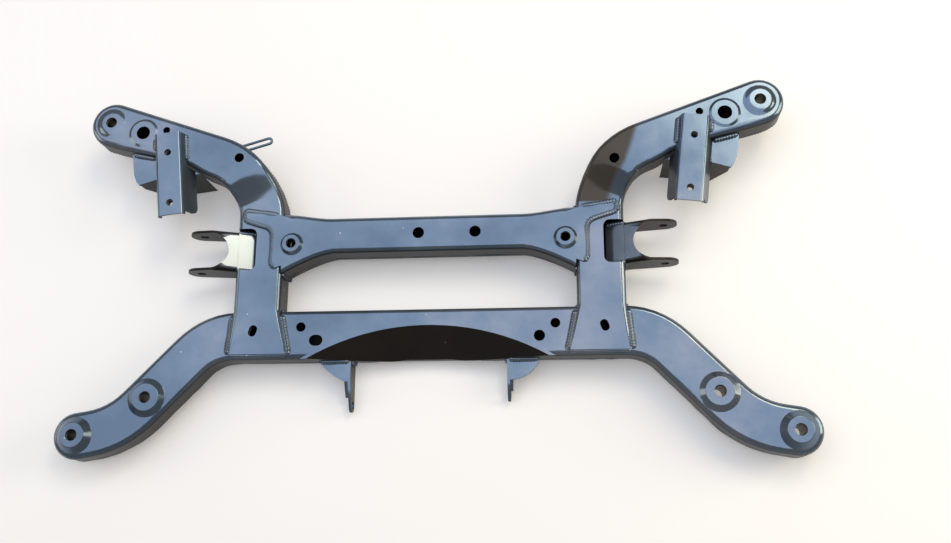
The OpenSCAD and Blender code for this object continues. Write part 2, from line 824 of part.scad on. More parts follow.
module strip_outline(inset) {
    r = 4.5 - inset;
    half = strip_w / 2 - inset;
    hull() {
        for (s = [-1, 1])
            translate([s * (half - r), -inset - r]) circle(r, $fn = 32);
        translate([-half - strip_flare, -strip_depth - inset])
            square([2 * (half + strip_flare), eps]);
    }
}

module right_stabiliser_channel() {
    color(paint) difference() {
        on_strip() difference() {
            translate([0, strip_fore, 0]) rotate([90, 0, 0])
                linear_extrude(strip_fore + strip_back)
                    difference() {
                        strip_outline(0);
                        strip_outline(sheet);
                        translate([-strip_w, -2 * strip_depth])
                            square([2 * strip_w, strip_depth]);
                    }
            for (y = [0, -strip_pitch])
                translate([0, y, -10]) cylinder(h = 20, d = nut_bore + 2);
            for (s = [-1, 1])
                translate([s * strip_w / 2 - 14, -strip_back - 1, -strip_depth - 1])
                    rotate([0, 90, 0]) rotate([0, 0, 90])
                        linear_extrude(28) {
                            square([7, strip_depth - 6]);
                            translate([6, 0]) difference() {
                                square([13, 13]);
                                translate([13, 13]) circle(12);
                            }
                        }
        }
        translate([arm_root.x, arm_root.y, -1]) rotate([0, 0, arm_h])
            translate([0, -arm_inner(arm_len - strip_from_mount + strip_w / 2) - 1, 0])
                cube([arm_len, 2 * arm_nose_r, arm_top + lap_gap + 1]);
    }
}

module left_stabiliser_channel() {
    mirror([1, 0, 0]) right_stabiliser_channel();
}

module right_stabiliser_nuts() {
    color(bare) on_strip()
        for (y = [0, -strip_pitch])
            translate([0, y, -sheet - lap_gap - nut_h])
                difference() {
                    cylinder(h = nut_h, d = nut_af / cos(30), $fn = 6);
                    translate([0, 0, -1]) cylinder(h = nut_h + 2, d = nut_bore);
                }
}

module left_stabiliser_nuts() {
    mirror([1, 0, 0]) right_stabiliser_nuts();
}

// Support beside and below the channel: a shelf against the arm and a skirt down to the floor
support_top = arm_top - support_drop;
arm_side = concat(
    [arm_point(0, arm_half + weld_gap)],
    [for (u = arm_stops) arm_point(u, arm_inner(u) + weld_gap)],
    [arm_point(arm_len, -arm_nose_r), arm_point(0, -arm_nose_r)]
);

module right_stabiliser_support() {
    half = strip_w / 2 + strip_flare + weld_gap;
    shelf_in = half - strip_flare * (support_top - bracket_sheet - strip_low) / strip_depth;
    outer = support_reach - 3 - shelf_in;
    fold_y = -support_back - outer * tan(support_fold);
    shelf = [[shelf_in, -support_back], [support_reach - 3, fold_y],
        [support_reach + 1, fold_y + 6], [support_reach + 4, fold_y + 17],
        [support_reach + 6, support_back], [shelf_in, support_back]];
    inner_skirt = [[-half - 15, 0], [shelf_in, 0], [shelf_in, support_top], [-half - 15, support_top - 4]];
    outer_skirt = [[0, 0], [outer - support_clip, 0], [outer - 1, support_top - 20],
        [outer, support_top], [0, support_top]];
    color(paint) difference() {
        translate([strip_at.x, strip_at.y, 0]) rotate([0, 0, strip_turn]) difference() {
            union() {
                translate([0, 0, support_top - bracket_sheet])
                    linear_extrude(bracket_sheet) polygon(shelf);
                translate([0, bracket_sheet - support_back, 0]) rotate([90, 0, 0])
                    linear_extrude(bracket_sheet) polygon(inner_skirt);
                translate([shelf_in, -support_back, 0]) rotate([0, 0, -support_fold])
                    translate([-0.6, bracket_sheet, 0]) rotate([90, 0, 0])
                        linear_extrude(bracket_sheet) polygon(outer_skirt);
            }
            translate([-half, -support_back - 1, strip_low - lap_gap])
                cube([2 * half, bracket_sheet + 2, strip_depth]);
        }
        translate([0, 0, -1]) linear_extrude(arm_top + 2) polygon(arm_side);
    }
}

module left_stabiliser_support() {
    mirror([1, 0, 0]) right_stabiliser_support();
}

// Ear behind the rear beam for the drive, with a gusset bent outwards along the beam
module drive_ear(reach, bulge) {
    drive_top = rear_edge + 12;
    wall_y = rear_back_y - weld_gap;
    x0 = drive_gap / 2;
    tip = [wall_y - reach, drive_tip_r + drive_low];
    knee = [wall_y - gusset_reach, drive_top];
    edge_a = atan2(tip.y - knee.y, tip.x - knee.x) - asin(drive_tip_r / norm(tip - knee));
    flange_end = knee + 0.6 * norm(tip - knee) * turned(edge_a) - [0, 0.4];
    gusset = [
        for (k = [0 : 8])
            let (
                t = k / 8,
                out = [gusset_reach, ear_flange - gusset_len] / norm([gusset_reach, gusset_len - ear_flange])
            )
            lerp([x0 + gusset_len, wall_y], [x0 + ear_flange, knee.x], t) + 4 * bulge * t * (1 - t) * out
    ];
    color(paint) difference() {
        union() {
            translate([x0, 0, 0]) rotate([90, 0, 90])
                linear_extrude(bracket_sheet) hull() {
                    polygon([[wall_y, drive_low], [wall_y, drive_top], knee]);
                    translate(tip) circle(drive_tip_r, $fn = 48);
                }
            translate([0, 0, drive_top - bracket_sheet])
                linear_extrude(bracket_sheet)
                    polygon(concat([[x0, wall_y]], gusset, [[x0, knee.x]]));
            hull() {
                translate([x0, knee.x + 1, drive_top - bracket_sheet])
                    cube([ear_flange, eps, bracket_sheet]);
                translate([x0, flange_end.x, flange_end.y - bracket_sheet])
                    cube([ear_flange - 1, eps, bracket_sheet]);
            }
        }
        translate([x0 - 10, tip.x, tip.y]) rotate([0, 90, 0])
            cylinder(h = 30, d = drive_bore);
    }
}

module right_drive_ear() {
    drive_ear(drive_reach_right, gusset_bulge_right);
}

module left_drive_ear() {
    mirror([1, 0, 0]) drive_ear(drive_reach_left, gusset_bulge_left);
}

// Wire clip for the brake line, on the outer side of the left bend
module brake_line_clip() {
    hub = [rail_x + rail_bend_r, bend_y];
    wall_r = rail_bend_r + arm_half;
    start = hub + wall_r * turned(122);
    color(bare) mirror([1, 0, 0]) difference() {
        translate([start.x, start.y, arm_top - 20]) rotate([0, 0, 164]) {
            for (s = [-1, 1])
                translate([-14, s * clip_w / 2, 0]) rotate([0, 90, 0])
                    cylinder(h = clip_len + 14 - clip_w / 2, d = clip_wire);
            translate([clip_len - clip_w / 2, 0, 0])
                rotate([0, 0, -90]) rotate_extrude(angle = 180)
                    translate([clip_w / 2, 0]) circle(d = clip_wire);
        }
        translate([hub.x, hub.y, 0]) cylinder(h = 2 * arm_top, r = wall_r + weld_gap, $fn = 128);
    }
}

rear_beam_upper();
rear_beam_lower();
front_beam_upper();
front_beam_lower();
left_side_rail_upper();
left_side_rail_lower();
right_side_rail_upper();
right_side_rail_lower();
left_link_clevis();
right_link_clevis();
left_stabiliser_channel();
right_stabiliser_channel();
left_stabiliser_support();
right_stabiliser_support();
left_drive_ear();
right_drive_ear();
left_rear_mount_sleeve();
right_rear_mount_sleeve();
left_locating_sleeve();
right_locating_sleeve();
left_front_mount_sleeve();
right_front_mount_sleeve();
left_front_beam_collar();
right_front_beam_collar();
left_stabiliser_nuts();
right_stabiliser_nuts();
brake_line_clip();
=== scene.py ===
import math
import bmesh
import bpy
import numpy as np
from mathutils import Matrix, Vector


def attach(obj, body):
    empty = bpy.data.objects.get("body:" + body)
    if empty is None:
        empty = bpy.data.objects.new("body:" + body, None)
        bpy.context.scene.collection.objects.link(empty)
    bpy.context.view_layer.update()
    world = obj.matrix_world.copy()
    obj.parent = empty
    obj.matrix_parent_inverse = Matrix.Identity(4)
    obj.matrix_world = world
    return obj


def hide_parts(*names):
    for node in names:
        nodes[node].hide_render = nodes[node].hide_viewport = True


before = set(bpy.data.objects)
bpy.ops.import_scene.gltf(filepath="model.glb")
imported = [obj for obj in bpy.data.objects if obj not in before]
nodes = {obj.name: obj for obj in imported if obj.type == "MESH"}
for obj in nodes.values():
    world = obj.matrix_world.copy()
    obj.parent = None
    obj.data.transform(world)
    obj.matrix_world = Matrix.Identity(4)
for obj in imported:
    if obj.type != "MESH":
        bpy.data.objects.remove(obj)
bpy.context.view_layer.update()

scene = bpy.context.scene
scene.view_settings.view_transform = "Standard"
mm = 0.001


def linear(hexColour):
    # sRGB hex to linear RGBA
    rgb = np.array([int(hexColour[k:k + 2], 16) for k in (1, 3, 5)]) / 255
    rgb = np.where(rgb <= 0.04045, rgb / 12.92, ((rgb + 0.055) / 1.055) ** 2.4)
    return (float(rgb[0]), float(rgb[1]), float(rgb[2]), 1.0)


def addNode(tree, kind, inputs=None, **settings):
    # one node, its settings, and its inputs as values or as sockets to link
    node = tree.nodes.new(kind)
    for key, value in settings.items():
        setattr(node, key, value)
    for key, value in (inputs or {}).items():
        if isinstance(value, bpy.types.NodeSocket):
            tree.links.new(value, node.inputs[key])
        else:
            node.inputs[key].default_value = value
    return node


def newMaterial(name):
    material = bpy.data.materials.new(name)
    material.use_nodes = True
    tree = material.node_tree
    tree.nodes.clear()
    return material, tree


def readMesh(items, key, width=1, kind=np.float64):
    # one property of a mesh's vertices, edges, corners or faces, a row for each
    values = np.zeros(len(items) * width, dtype=kind)
    items.foreach_get(key, values)
    return values.reshape(-1, width) if width > 1 else values


def smoothStep(f):
    f = np.clip(f, 0, 1)
    return f * f * (3 - 2 * f)


# Camera, fitted to the photo
view = dict(
    place=(0.204, -0.388, 1.465), ahead=(-0.091, 0.263, -0.961), up=(0.022, 0.965, 0.262),
    lens=37.85, sensor=36,
)


def makeCamera():
    data = bpy.data.cameras.new("photoCamera")
    data.lens = view["lens"]
    data.sensor_width = view["sensor"]
    data.dof.use_dof = False
    camera = bpy.data.objects.new("photoCamera", data)
    back = -Vector(view["ahead"]).normalized()
    right = Vector(view["up"]).cross(back).normalized()
    up = back.cross(right)
    turn = Matrix((right, up, back)).transposed().to_4x4()
    camera.matrix_world = Matrix.Translation(Vector(view["place"])) @ turn
    scene.collection.objects.link(camera)
    scene.camera = camera


makeCamera()
print("camera set")

# Studio: a cool soft box overhead, a large and a small warm lamp in front on the right, a low lamp on
# the left, a low panel on the right, a dim room, and a floor that glows a little
studio = dict(
    floor="#f4f7fc", floorReach=20, floorRough=0.9, floorSheen=0.1, glow="#ffffff", floorGlow=0.20,
    room="#f0e6da", roomStrength=0.30,
    # name, place, aim, sides, colour and power of each lamp
    lamps=(
        ("softBox", (-0.25, 0.55, 2.2), (-0.25, 0.55, 0), (3.0, 2.4), "#eef3ff", 29),
        ("keyLamp", (1.48, 1.99, 3.26), (0, 0, 0.05), (1.3, 1.3), "#ffeec8", 22),
        ("spotLamp", (1.5, 1.09, 3.26), (0, 0, 0.05), (0.6, 0.6), "#ffdc94", 5),
        ("westLamp", (-1.9, 0.1, 0.9), (0, 0, 0.05), (0.9, 0.9), "#fff6e2", 4),
        ("eastPanel", (2.1, 0.25, 0.95), (0, 0, 0.5), (1.0, 1.5), "#fff0cc", 22),
    ),
)


def areaLamp(name, place, target, sides, colour, power):
    data = bpy.data.lights.new(name, "AREA")
    data.shape = "RECTANGLE"
    data.size, data.size_y = sides
    data.color = linear(colour)[:3]
    data.energy = power
    lamp = bpy.data.objects.new(name, data)
    aim = (Vector(target) - Vector(place)).to_track_quat("-Z", "Y")
    lamp.matrix_world = Matrix.Translation(Vector(place)) @ aim.to_matrix().to_4x4()
    scene.collection.objects.link(lamp)


def makeFloor():
    # matt white paint on a level floor
    reach = studio["floorReach"]
    corners = [(-reach, -reach, 0), (reach, -reach, 0), (reach, reach, 0), (-reach, reach, 0)]
    mesh = bpy.data.meshes.new("paleFloor")
    mesh.from_pydata(corners, [], [(0, 1, 2, 3)])
    floor = bpy.data.objects.new("paleFloor", mesh)
    scene.collection.objects.link(floor)
    material, tree = newMaterial("matt white floor")
    shader = addNode(tree, "ShaderNodeBsdfPrincipled", {
        "Base Color": linear(studio["floor"]), "Roughness": studio["floorRough"],
        "Specular IOR Level": studio["floorSheen"],
        "Emission Color": linear(studio["glow"]), "Emission Strength": studio["floorGlow"]})
    addNode(tree, "ShaderNodeOutputMaterial", {"Surface": shader.outputs["BSDF"]})
    mesh.materials.append(material)


def makeRoom():
    world = bpy.data.worlds.new("room")
    world.use_nodes = True
    world.node_tree.nodes.clear()
    room = addNode(world.node_tree, "ShaderNodeBackground", {
        "Color": linear(studio["room"]), "Strength": studio["roomStrength"]})
    addNode(world.node_tree, "ShaderNodeOutputWorld", {"Surface": room.outputs["Background"]})
    scene.world = world


makeFloor()
makeRoom()
for lampRow in studio["lamps"]:
    areaLamp(*lampRow)
print("studio set")

# Black chassis enamel. Faces that look up get a painted reflection of the blue sky, in slate tones with a
# metal sheen, and the walls get painted shade, dull and brownish black.
# The mask attribute is 1 where the sky's reflection is painted and 0 where the shade is.
enamel = dict(
    skyDeep="#5f7186", skyMid="#6d7f94", skyPale="#858f9f", toneAt=(0.36, 0.52, 0.68),
    shadedBlack="#161514", shadedBlackPale="#23201e", shadedRough=0.34,
    skyMetal=0.82, skyRough=0.15, skyRoughSpread=(-0.06, 0.08), sheen=0.2,
    cloudMm=150, patchMm=34, patchShare=0.3, peelMm=2.4, peelDeep=0.05, peelHighMm=0.4,
    # dust that has settled in the film, about one speck in a palm's breadth
    speck="#c9ccd0", speckMm=26, speckSize=0.034, speckLeast=0.55,
    edge="#6a6c6c", rubFrom=0.45, rubTo=0.7, rubMost=0.7,
)

# Painted shade on the right bend, darker and browner with less metal, in mm: round the middle of the bend from
# one radius on, ahead of the front beam's finger, up to the border ax + by = c
bendShade = dict(
    middle=(353, 83.9), radius=(80, 94), reach=150, fore=(96, 99), border=(0.948, -0.318, 234), soft=10,
    tone="#4b4743", metal=0.35,
)


def bendShadeMask(tree, place):
    # mask = smooth(r) smooth(y) smooth(c - ax - by) (r < reach), with r round the middle of the bend
    x, y = bendShade["middle"]
    a, b, c = bendShade["border"]
    off = addNode(tree, "ShaderNodeVectorMath", {
        0: place, 1: (x * mm, y * mm, 0)}, operation="SUBTRACT").outputs[0]
    flat = addNode(tree, "ShaderNodeVectorMath", {0: off, 1: (1, 1, 0)}, operation="MULTIPLY").outputs[0]
    r = addNode(tree, "ShaderNodeVectorMath", {0: flat}, operation="LENGTH").outputs["Value"]
    past = addNode(tree, "ShaderNodeVectorMath", {
        0: place, 1: (a, b, 0)}, operation="DOT_PRODUCT").outputs["Value"]
    ahead = addNode(tree, "ShaderNodeSeparateXYZ", {0: place}).outputs["Y"]
    mask = addNode(tree, "ShaderNodeMath", {0: r, 1: bendShade["reach"] * mm}, operation="LESS_THAN").outputs[0]
    for value, start, stop in ((r, *bendShade["radius"]), (ahead, *bendShade["fore"]), (past, c, c - bendShade["soft"])):
        part = addNode(tree, "ShaderNodeMapRange", {
            "Value": value, "From Min": start * mm, "From Max": stop * mm},
            interpolation_type="SMOOTHSTEP").outputs[0]
        mask = addNode(tree, "ShaderNodeMath", {0: mask, 1: part}, operation="MULTIPLY").outputs[0]
    return mask


def dustMask(tree, place):
    # small round specks in some of the cells
    cell = addNode(tree, "ShaderNodeTexVoronoi", {"Vector": place, "Scale": 1 / (enamel["speckMm"] * mm)})
    near = addNode(tree, "ShaderNodeMath", {
        0: cell.outputs["Distance"], 1: enamel["speckSize"]}, operation="LESS_THAN").outputs[0]
    pick = addNode(tree, "ShaderNodeSeparateColor", {"Color": cell.outputs["Color"]}).outputs["Red"]
    chosen = addNode(tree, "ShaderNodeMath", {
        0: pick, 1: enamel["speckLeast"]}, operation="GREATER_THAN").outputs[0]
    return addNode(tree, "ShaderNodeMath", {0: near, 1: chosen}, operation="MULTIPLY").outputs[0]


def makeEnamel(name, edgeWorn=False, bendShaded=False):
    material, tree = newMaterial(name)
    place = addNode(tree, "ShaderNodeTexCoord").outputs["Object"]
    # mask: painted sky reflection where 1, painted shade where 0
    skyMask = addNode(tree, "ShaderNodeAttribute", attribute_name="paintedSky").outputs["Fac"]
    cloud = addNode(tree, "ShaderNodeTexNoise", {
        "Vector": place, "Scale": 1 / (enamel["cloudMm"] * mm),
        "Detail": 2.0, "Roughness": 0.45}).outputs["Fac"]
    patch = addNode(tree, "ShaderNodeTexNoise", {
        "Vector": place, "Scale": 1 / (enamel["patchMm"] * mm),
        "Detail": 4.0, "Roughness": 0.6}).outputs["Fac"]
    # painted reflection of the sky on faces that look up: slate tones from broad clouds and smaller patches
    blend = addNode(tree, "ShaderNodeMix", {
        0: enamel["patchShare"], 2: cloud, 3: patch}, data_type="FLOAT").outputs[0]
    tone = addNode(tree, "ShaderNodeValToRGB", {"Fac": blend})
    deepAt, midAt, paleAt = enamel["toneAt"]
    deep, pale = tone.color_ramp.elements
    deep.position, deep.color = deepAt, linear(enamel["skyDeep"])
    pale.position, pale.color = paleAt, linear(enamel["skyPale"])
    tone.color_ramp.elements.new(midAt).color = linear(enamel["skyMid"])
    # painted shade on the walls: near black, browner in patches
    shadeTone = addNode(tree, "ShaderNodeMix", {
        0: patch, 6: linear(enamel["shadedBlack"]), 7: linear(enamel["shadedBlackPale"])}, data_type="RGBA").outputs[2]
    # painted sky reflection on faces that look up, painted shade on the walls
    base = addNode(tree, "ShaderNodeMix", {
        0: skyMask, 6: shadeTone, 7: tone.outputs["Color"]}, data_type="RGBA").outputs[2]
    base = addNode(tree, "ShaderNodeMix", {
        0: dustMask(tree, place), 6: base, 7: linear(enamel["speck"])}, data_type="RGBA").outputs[2]
    if edgeWorn:
        rub = addNode(tree, "ShaderNodeMapRange", {
            "Value": patch, "From Min": enamel["rubFrom"], "From Max": enamel["rubTo"],
            "To Max": enamel["rubMost"]}).outputs[0]
        base = addNode(tree, "ShaderNodeMix", {
            0: rub, 6: base, 7: linear(enamel["edge"])}, data_type="RGBA").outputs[2]
    # metal sheen that carries the painted sky reflection
    metal = addNode(tree, "ShaderNodeMath", {0: skyMask, 1: enamel["skyMetal"]}, operation="MULTIPLY").outputs[0]
    # painted shade, darker and browner, on part of the right bend
    if bendShaded:
        mask = addNode(tree, "ShaderNodeMath", {
            0: bendShadeMask(tree, place), 1: skyMask}, operation="MULTIPLY").outputs[0]
        base = addNode(tree, "ShaderNodeMix", {
            0: mask, 6: base, 7: linear(bendShade["tone"])}, data_type="RGBA").outputs[2]
        metal = addNode(tree, "ShaderNodeMix", {
            0: mask, 2: metal, 3: bendShade["metal"]}, data_type="FLOAT").outputs[0]
    less, more = enamel["skyRoughSpread"]
    skyRough = addNode(tree, "ShaderNodeMapRange", {
        "Value": patch, "To Min": enamel["skyRough"] + less, "To Max": enamel["skyRough"] + more}).outputs[0]
    rough = addNode(tree, "ShaderNodeMix", {
        0: skyMask, 2: enamel["shadedRough"], 3: skyRough}, data_type="FLOAT").outputs[0]
    peel = addNode(tree, "ShaderNodeTexNoise", {
        "Vector": place, "Scale": 1 / (enamel["peelMm"] * mm), "Detail": 1.0}).outputs["Fac"]
    bump = addNode(tree, "ShaderNodeBump", {
        "Height": peel, "Strength": enamel["peelDeep"],
        "Distance": enamel["peelHighMm"] * mm}).outputs["Normal"]
    shader = addNode(tree, "ShaderNodeBsdfPrincipled", {
        "Base Color": base, "Metallic": metal, "Roughness": rough,
        "Specular IOR Level": enamel["sheen"], "Normal": bump})
    addNode(tree, "ShaderNodeOutputMaterial", {"Surface": shader.outputs["BSDF"]})
    return material


# Zinc-plated steel, turned and cut from bar: shallow rings along Z, dull grey with a warm tint
zinc = dict(
    pale="#7b7973", deep="#4a4843", rough=0.36, roughSpread=(-0.08, 0.12),
    ringMm=10.053, waveTurn=20, ringDeep=0.15, ringHighMm=0.1, stainMm=9,
)


def makeZinc(name):
    material, tree = newMaterial(name)
    place = addNode(tree, "ShaderNodeTexCoord").outputs["Object"]
    # at scale 1 the wave texture turns through waveTurn radians in a unit
    ring = addNode(tree, "ShaderNodeTexWave", {
        "Vector": place, "Scale": 2 * math.pi / (zinc["ringMm"] * mm * zinc["waveTurn"]), "Distortion": 1.5,
        "Detail": 2.0}, bands_direction="Z").outputs["Fac"]
    stain = addNode(tree, "ShaderNodeTexNoise", {
        "Vector": place, "Scale": 1 / (zinc["stainMm"] * mm), "Detail": 3.0}).outputs["Fac"]
    base = addNode(tree, "ShaderNodeMix", {
        0: stain, 6: linear(zinc["deep"]), 7: linear(zinc["pale"])}, data_type="RGBA").outputs[2]
    less, more = zinc["roughSpread"]
    rough = addNode(tree, "ShaderNodeMapRange", {
        "Value": stain, "To Min": zinc["rough"] + less, "To Max": zinc["rough"] + more}).outputs[0]
    bump = addNode(tree, "ShaderNodeBump", {
        "Height": ring, "Strength": zinc["ringDeep"],
        "Distance": zinc["ringHighMm"] * mm}).outputs["Normal"]
    shader = addNode(tree, "ShaderNodeBsdfPrincipled", {
        "Base Color": base, "Metallic": 1.0, "Roughness": rough, "Normal": bump})
    addNode(tree, "ShaderNodeOutputMaterial", {"Surface": shader.outputs["BSDF"]})
    return material


enamelBody = makeEnamel("gloss black enamel on steel")
enamelBendShade = makeEnamel("gloss black enamel, painted shade on a bend", bendShaded=True)
enamelEdge = makeEnamel("gloss black enamel rubbed at an edge", edgeWorn=True)
zincBody = makeZinc("zinc plated steel")
print("materials made")


def inHollow(mesh, hollow, flatRise):
    # sloping faces nearer the middle than the hollow's end x and behind its y, as one value a corner
    endX, startY = hollow
    rise = readMesh(mesh.polygons, "normal", 3, np.float32)[:, 2]
    middle = readMesh(mesh.polygons, "center", 3, np.float32) / mm
    sunk = (np.abs(middle[:, 0]) < endX) & (middle[:, 1] < startY) & (rise < flatRise)
    return np.repeat(sunk, readMesh(mesh.polygons, "loop_total", 1, np.int32))


def setPaintedSky(mesh, skyRise, most=1.0, bosses=(), widest=math.inf, hollow=None):
    # mask = s(most f) on face corners, s the smooth step, f the normal's rise over the range: painted sky
    # reflection where 1, painted shade where 0. A boss keeps the reflection down its slopes; beyond widest and
    # in the hollow is shade.
    rise = readMesh(mesh.corner_normals, "vector", 3, np.float32)[:, 2]
    points = readMesh(mesh.vertices, "co", 3, np.float32)
    flat = points[readMesh(mesh.loops, "vertex_index", 1, np.int32), :2] / mm
    low, high = skyRise
    f = np.clip((rise - low) / (high - low), 0, 1)
    bossLow, bossHigh = dress["bossSkyRise"]
    onSlope = np.clip((rise - bossLow) / (bossHigh - bossLow), 0, 1)
    for x, y, reach in bosses:
        off = np.hypot(np.abs(flat[:, 0]) - x, flat[:, 1] - y)
        f = np.where((off < reach) & (off > dress["sleeveR"]), onSlope, f)
    f = most * np.where(np.abs(flat[:, 0]) < widest, f, 0)
    # painted shade on the slopes of the scallop
    if hollow:
        f = np.where(inHollow(mesh, hollow, dress["flatRise"]), 0, f)
    # 1 paints the sky's reflection, 0 paints shade
    layer = mesh.attributes.new("paintedSky", "FLOAT", "CORNER")
    layer.data.foreach_set("value", smoothStep(f).astype(np.float32))


def addPiece(name, mesh, materials):
    for material in materials:
        mesh.materials.append(material)
    piece = bpy.data.objects.new(name, mesh)
    scene.collection.objects.link(piece)
    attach(piece, "root")
    return piece


# Dressed copies of the solids: merged, smooth over the rolled bends, with broken edges. Sizes in mm
dress = dict(
    mergeMm=0.01, sliverM=1e-6, flatDeg=0.4, sharpDeg=33, lowerSharpDeg=50,
    breakMm=0.7, bareBreakMm=0.5, fineMm=1, fineSteps=2, wideSteps=3,
    # rise of the normal over which the colour goes from painted shade to painted sky reflection
    skyRise=(0.35, 0.80), channelSkyRise=(0.15, 0.50), clevisSkyRise=(0.70, 0.90), bossSkyRise=(-0.3, 0.1),
    # the clevises get the painted sky reflection on their roofs only, as far out as roofEnd
    roofEnd=310, roofSky=0.9,
    # bosses whose slopes keep the painted sky reflection, outside their sleeves: x, y, reach
    bosses=((203, 42, 19), (489, 236.5, 26), (437.9, 218.9, 26)), sleeveR=11.5,
    # scallop in the rear beam, with painted shade on its slopes: its end in x and its start in y
    scallop=(196, -84), flatRise=0.98,
    # the arm's pads, whose two rings stay crisp: x, y, inner and outer radius, lowest z
    padRings=(437.94, 218.92, 19.0, 23.0, 93.5), padNear=0.4,
    # rings on the arm that the press leaves softer: x, y, radius, lowest z, new radius
    softRings=(
        (437.94, 218.92, 20.0, 93.5, 23.0),
        (489, 236.5, 22.7, 93.5, 25.0),
        (489, 236.5, 16.0, 98.0, 14.6),
    ),
    ringNear=0.5,
    # cuts each side of the climb in the bend, as ax + by = c, between which the shading runs on
    bendCuts=((0.14, 0.99, 124), (0.66, 0.75, 310)), bendInset=9, leastWeight=0.001,
    # places where the press leaves a wide round, outside the bore: x, y, reach, radius
    rounds=(
        (515, -237.5, 31, 3.0),
        (411.4, -183.4, 33, 3.0),
        (203, 42, 21, 1.6),
        (489, 236.5, 27, 2.6),
        (437.9, 218.9, 26, 1.4),
    ),
    boreR=9.5,
)


def softenRings(points):
    # r becomes the new radius on each listed ring
    for x, y, radius, low, new in dress["softRings"]:
        middle = np.column_stack([np.sign(points[:, 0]) * x, np.full(len(points), y)]) * mm
        off = points[:, :2] - middle
        r = np.linalg.norm(off, axis=1) / mm
        onRing = (np.abs(r - radius) < dress["ringNear"]) & (points[:, 2] > low * mm)
        grow = (new / np.maximum(r, 1))[:, None]
        points[:, :2] = np.where(onRing[:, None], middle + off * grow, points[:, :2])


def cutBend(work, way):
    for a, b, c in dress["bendCuts"]:
        across = Vector((way * a, b, 0))
        bmesh.ops.bisect_plane(
            work, geom=work.verts[:] + work.edges[:] + work.faces[:], dist=dress["sliverM"],
            plane_co=across * (c * mm / (a * a + b * b)), plane_no=across)


def sharpenPads(mesh):
    # the rings of the arm's pads count as sharp edges, so that they are broken too
    x, y, inner, outer, low = dress["padRings"]
    points = readMesh(mesh.vertices, "co", 3) / mm
    r = np.hypot(np.abs(points[:, 0]) - x, points[:, 1] - y)
    onRing = (np.abs(r - inner) < dress["padNear"]) | (np.abs(r - outer) < dress["padNear"])
    onPad = onRing & (points[:, 2] > low)
    first, second = readMesh(mesh.edges, "vertices", 2, np.int32).T
    around = np.abs(r[first] - r[second]) < dress["ringNear"]
    layer = mesh.attributes["sharp_edge"].data
    layer.foreach_set("value", readMesh(layer, "value", 1, bool) | (onPad[first] & onPad[second] & around))


def mergedMesh(name, sharpDeg):
    data = nodes[name].data
    data.calc_loop_triangles()
    points = readMesh(data.vertices, "co", 3)
    corners = readMesh(data.loop_triangles, "vertices", 3, np.int32)
    isRail = name.endswith("rail_upper")
    if isRail:
        softenRings(points)
    mesh = bpy.data.meshes.new(name + "Dressed")
    mesh.from_pydata(points, [], corners)
    work = bmesh.new()
    work.from_mesh(mesh)
    bmesh.ops.remove_doubles(work, verts=work.verts, dist=dress["mergeMm"] * mm)
    bmesh.ops.dissolve_degenerate(work, edges=work.edges, dist=dress["sliverM"])
    bmesh.ops.dissolve_limit(
        work, angle_limit=math.radians(dress["flatDeg"]), verts=work.verts, edges=work.edges)
    if isRail:
        cutBend(work, -1 if name.startswith("left") else 1)
    work.to_mesh(mesh)
    work.free()
    mesh.polygons.foreach_set("use_smooth", np.ones(len(mesh.polygons), dtype=bool))
    mesh.set_sharp_from_angle(angle=math.radians(sharpDeg))
    if isRail:
        sharpenPads(mesh)
    return mesh


def breakWeights(mesh, breakMm, isUpper):
    # weight of each sharp edge = its width / the widest; the width is breakMm, or the round it is in
    points = readMesh(mesh.vertices, "co", 3)
    ends = readMesh(mesh.edges, "vertices", 2, np.int32)
    sharp = np.zeros(len(mesh.edges), dtype=bool)
    if "sharp_edge" in mesh.attributes:
        sharp = readMesh(mesh.attributes["sharp_edge"].data, "value", 1, bool)
    middle = points[ends].mean(axis=1) / mm
    width = np.full(len(sharp), breakMm)
    for x, y, reach, radius in dress["rounds"] if isUpper else ():
        off = np.hypot(np.abs(middle[:, 0]) - x, middle[:, 1] - y)
        width = np.where((off < reach) & (off > dress["boreR"]), radius, width)
    widest = float(width.max())
    layer = mesh.attributes.new("bevel_weight_edge", "FLOAT", "EDGE")
    layer.data.foreach_set("value", np.where(sharp, width / widest, 0).astype(np.float32))
    return widest


def skyRiseOf(name):
    # how much painted sky reflection a node gets, and where it gets painted shade
    if "clevis" in name:
        return dict(skyRise=dress["clevisSkyRise"], most=dress["roofSky"], widest=dress["roofEnd"])
    if "channel" in name:
        return dict(skyRise=dress["channelSkyRise"])
    # the lower shells get painted shade all over
    if name.endswith("lower"):
        return dict(skyRise=dress["skyRise"], most=0.0)
    return dict(skyRise=dress["skyRise"], hollow=dress["scallop"] if name == "rear_beam_upper" else None)


def settleBend(piece):
    # vertex group of all but the climb in the bend, where the shading runs on from face to face
    points = readMesh(piece.data.vertices, "co", 3) / mm
    x, y = np.abs(points[:, 0]), points[:, 1]
    (a, b, c), (d, e, g) = dress["bendCuts"]
    inset = dress["bendInset"]
    bent = (a * x + b * y > c + inset) & (d * x + e * y < g - inset)
    settled = piece.vertex_groups.new(name="settled")
    settled.add(np.flatnonzero(~bent).tolist(), 1.0, "REPLACE")
    # the bevel leaves weights just below zero, which are no use
    weights = piece.modifiers.new("settledOnly", "VERTEX_WEIGHT_EDIT")
    weights.vertex_group = settled.name
    weights.use_remove = True
    weights.remove_threshold = dress["leastWeight"]
    return settled.name


